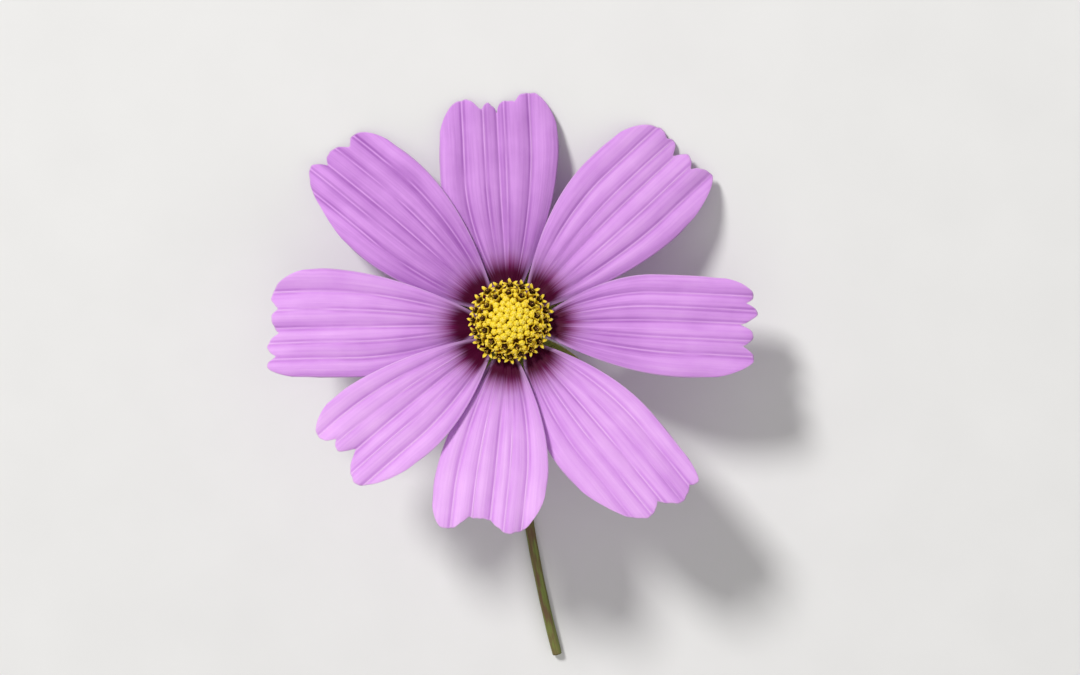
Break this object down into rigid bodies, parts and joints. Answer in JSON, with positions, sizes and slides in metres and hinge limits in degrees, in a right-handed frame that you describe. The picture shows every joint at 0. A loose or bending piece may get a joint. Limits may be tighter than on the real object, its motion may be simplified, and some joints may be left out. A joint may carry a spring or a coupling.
{
  "type": "cosmos flower",
  "caption": "Picked cosmos flower with broad notched mauve petals, a yellow disc and a bent green stem, lying face up on its stem and petal tips.",
  "frame": {"origin": "on the ground, under the centre of the whole flower's box", "axes": "+Z up, away from the ground; +Y from the cut end of the stem towards the head, so the face looks up and leans towards +Y; +X to the right of the head as it is seen from above with +Y up"},
  "size_m": [0.0762, 0.0931, 0.0289],
  "materials": {
    "petal": "soft satin",
    "inner_bract": "satin, pale thin margins",
    "outer_bract": "satin",
    "receptacle": "satin, living green",
    "floret": "matt, dusted with pollen",
    "bud": "soft satin",
    "stem": "satin, living green"
  },
  "bodies": {
    "root": {"receptacle": "receptacle", "stem": "stem", "ray_petal_1": "petal", "ray_petal_2": "petal", "ray_petal_3": "petal", "ray_petal_4": "petal", "ray_petal_5": "petal", "ray_petal_6": "petal", "ray_petal_7": "petal", "ray_petal_8": "petal", "inner_bract_1": "inner_bract", "inner_bract_2": "inner_bract", "inner_bract_3": "inner_bract", "inner_bract_4": "inner_bract", "inner_bract_5": "inner_bract", "inner_bract_6": "inner_bract", "inner_bract_7": "inner_bract", "inner_bract_8": "inner_bract", "outer_bract_1": "outer_bract", "outer_bract_2": "outer_bract", "outer_bract_3": "outer_bract", "outer_bract_4": "outer_bract", "outer_bract_5": "outer_bract", "outer_bract_6": "outer_bract", "outer_bract_7": "outer_bract", "outer_bract_8": "outer_bract", "disc_floret_01": "floret", "disc_floret_02": "floret", "disc_floret_03": "floret", "disc_floret_04": "floret", "disc_floret_05": "floret", "disc_floret_06": "floret", "disc_floret_07": "floret", "disc_floret_08": "floret", "disc_floret_09": "floret", "disc_floret_10": "floret", "disc_floret_11": "floret", "disc_floret_12": "floret", "disc_floret_13": "floret", "disc_floret_14": "floret", "disc_floret_15": "floret", "disc_floret_16": "floret", "disc_floret_17": "floret", "disc_floret_18": "floret", "disc_floret_19": "floret", "disc_floret_20": "floret", "disc_floret_21": "floret", "disc_floret_22": "floret", "disc_floret_23": "floret", "disc_floret_24": "floret", "disc_floret_25": "floret", "disc_floret_26": "floret", "disc_floret_27": "floret", "disc_floret_28": "floret", "disc_floret_29": "floret", "disc_floret_30": "floret", "disc_floret_31": "floret", "disc_floret_32": "floret", "disc_floret_33": "floret", "disc_buds": "bud"}
  },
  "joints": []
}
